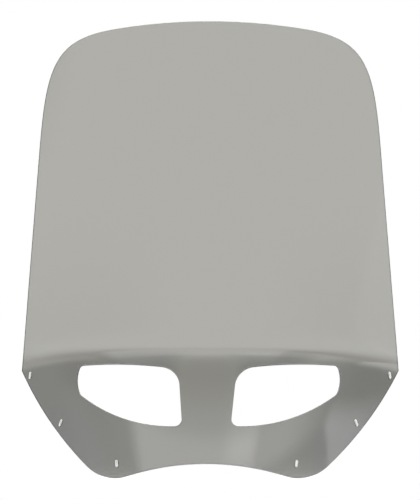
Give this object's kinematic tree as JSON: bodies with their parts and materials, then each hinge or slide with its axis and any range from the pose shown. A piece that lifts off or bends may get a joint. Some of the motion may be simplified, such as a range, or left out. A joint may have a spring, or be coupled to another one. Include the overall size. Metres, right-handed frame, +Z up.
{
  "type": "motorcycle windscreen",
  "caption": "Touring windscreen formed from one clear smoke-grey sheet: upright curved panel, soft bend, and a flared apron with air windows and fixing slots.",
  "frame": {"origin": "centre of the bounding box across and from front to back, at the height of the two lobes' lowest edge", "axes": "+Z up the main panel, which stands upright, -Y forward out of the bulging front face, +X to the right as the picture shows it"},
  "size_m": [0.5666, 0.1386, 0.6846],
  "materials": {
    "smoke_sheet": "polished clear acrylic with a light smoke-grey tint"
  },
  "bodies": {
    "root": {"windscreen_sheet": "smoke_sheet"}
  },
  "joints": []
}
